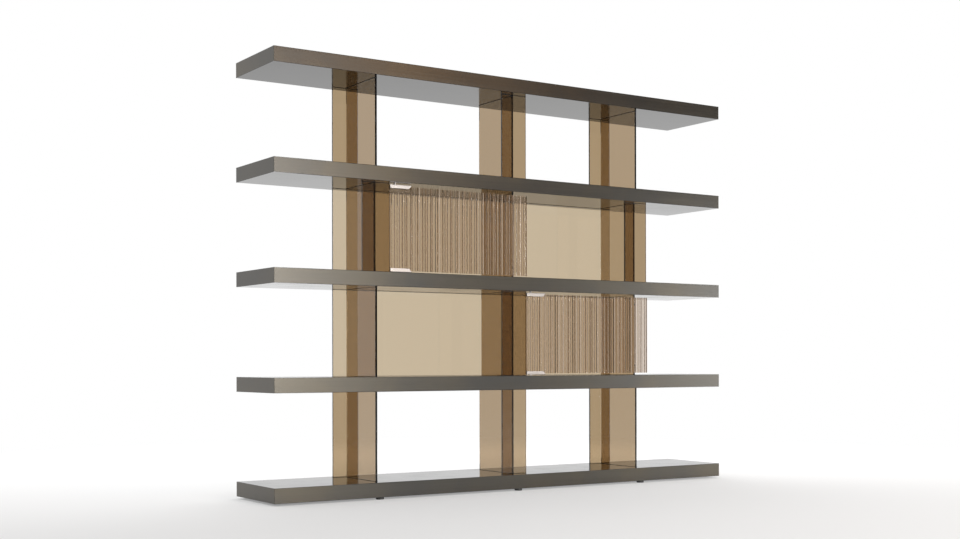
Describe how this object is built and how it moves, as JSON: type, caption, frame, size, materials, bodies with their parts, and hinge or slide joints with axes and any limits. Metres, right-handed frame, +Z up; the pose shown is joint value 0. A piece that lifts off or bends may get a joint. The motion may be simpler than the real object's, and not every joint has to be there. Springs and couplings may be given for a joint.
{
  "type": "modular bookcase",
  "caption": "Free-standing bookcase of thick metal-clad shelves on T-shaped tinted glass uprights, with pivoting fluted glass doors and levelling feet.",
  "frame": {"origin": "on the floor, under the middle of the bookcase", "axes": "+X along the shelves, to the right seen from the front; -Y is the front; +Z is up"},
  "size_m": [2.49, 0.4, 1.915],
  "materials": {
    "polished_bronze": "polished bronze-anodised sheet",
    "brushed_bronze": "brushed bronze-anodised strip",
    "core_timber": "raw timber frame",
    "bronze_glass": "bronze-tinted toughened glass, polished edges",
    "pale_bronze_glass": "paler bronze-tinted toughened glass, polished edges",
    "fluted_glass": "toughened glass with V-cut flutes at uneven distances",
    "polished_steel": "polished",
    "screw_steel": "machined",
    "bush_nylon": "moulded",
    "gasket_rubber": "extruded",
    "bumper_silicone": "moulded silicone",
    "foot_black": "black satin",
    "insert_brass": "machined"
  },
  "bodies": {
    "carcass": {"shelf_1_core": "core_timber", "shelf_1_skins": "polished_bronze", "shelf_1_edge_bands": "brushed_bronze", "shelf_2_core": "core_timber", "shelf_2_skins": "polished_bronze", "shelf_2_edge_bands": "brushed_bronze", "shelf_3_core": "core_timber", "shelf_3_skins": "polished_bronze", "shelf_3_edge_bands": "brushed_bronze", "shelf_4_core": "core_timber", "shelf_4_skins": "polished_bronze", "shelf_4_edge_bands": "brushed_bronze", "shelf_5_core": "core_timber", "shelf_5_skins": "polished_bronze", "shelf_5_edge_bands": "brushed_bronze", "tier_1_left_fin": "bronze_glass", "tier_1_left_back_wing": "bronze_glass", "tier_1_middle_fin": "bronze_glass", "tier_1_middle_front_wing": "bronze_glass", "tier_1_right_fin": "bronze_glass", "tier_1_right_back_wing": "bronze_glass", "tier_2_left_fin": "bronze_glass", "tier_2_middle_fin": "bronze_glass", "tier_2_middle_front_wing": "bronze_glass", "tier_2_right_fin": "bronze_glass", "tier_2_back_pane": "pale_bronze_glass", "tier_3_left_fin": "bronze_glass", "tier_3_left_front_wing": "bronze_glass", "tier_3_middle_fin": "bronze_glass", "tier_3_right_fin": "bronze_glass", "tier_3_right_front_wing": "bronze_glass", "tier_3_back_pane": "pale_bronze_glass", "tier_4_left_fin": "bronze_glass", "tier_4_left_back_wing": "bronze_glass", "tier_4_middle_fin": "bronze_glass", "tier_4_middle_front_wing": "bronze_glass", "tier_4_right_fin": "bronze_glass", "tier_4_right_back_wing": "bronze_glass", "pane_gaskets": "gasket_rubber", "pivot_pins": "polished_steel", "door_bumpers": "bumper_silicone", "foot_inserts": "insert_brass"},
    "left_door": {"left_door_glass": "fluted_glass", "left_door_upper_patch": "polished_steel", "left_door_lower_patch": "polished_steel", "left_door_set_screws": "screw_steel", "left_door_pivot_bushes": "bush_nylon"},
    "right_door": {"right_door_glass": "fluted_glass", "right_door_upper_patch": "polished_steel", "right_door_lower_patch": "polished_steel", "right_door_set_screws": "screw_steel", "right_door_pivot_bushes": "bush_nylon"},
    "front_left_foot": {"front_left_foot": "foot_black"},
    "front_middle_foot": {"front_middle_foot": "foot_black"},
    "front_right_foot": {"front_right_foot": "foot_black"},
    "back_left_foot": {"back_left_foot": "foot_black"},
    "back_middle_foot": {"back_middle_foot": "foot_black"},
    "back_right_foot": {"back_right_foot": "foot_black"}
  },
  "joints": [
    {"name": "left_door_pivot", "type": "hinge", "parent": "carcass", "child": "left_door", "pos_m": [-0.638, -0.142, 1.1925], "axis": [0, 0, -1], "range_deg": [0, 110]},
    {"name": "right_door_pivot", "type": "hinge", "parent": "carcass", "child": "right_door", "pos_m": [0.097, -0.142, 0.7325], "axis": [0, 0, -1], "range_deg": [0, 110]},
    {"name": "front_left_foot_screw", "type": "slide", "parent": "carcass", "child": "front_left_foot", "axis": [0, 0, -1], "range_m": [0, 0.012]},
    {"name": "front_middle_foot_screw", "type": "slide", "parent": "carcass", "child": "front_middle_foot", "axis": [0, 0, -1], "range_m": [0, 0.012]},
    {"name": "front_right_foot_screw", "type": "slide", "parent": "carcass", "child": "front_right_foot", "axis": [0, 0, -1], "range_m": [0, 0.012]},
    {"name": "back_left_foot_screw", "type": "slide", "parent": "carcass", "child": "back_left_foot", "axis": [0, 0, -1], "range_m": [0, 0.012]},
    {"name": "back_middle_foot_screw", "type": "slide", "parent": "carcass", "child": "back_middle_foot", "axis": [0, 0, -1], "range_m": [0, 0.012]},
    {"name": "back_right_foot_screw", "type": "slide", "parent": "carcass", "child": "back_right_foot", "axis": [0, 0, -1], "range_m": [0, 0.012]}
  ]
}
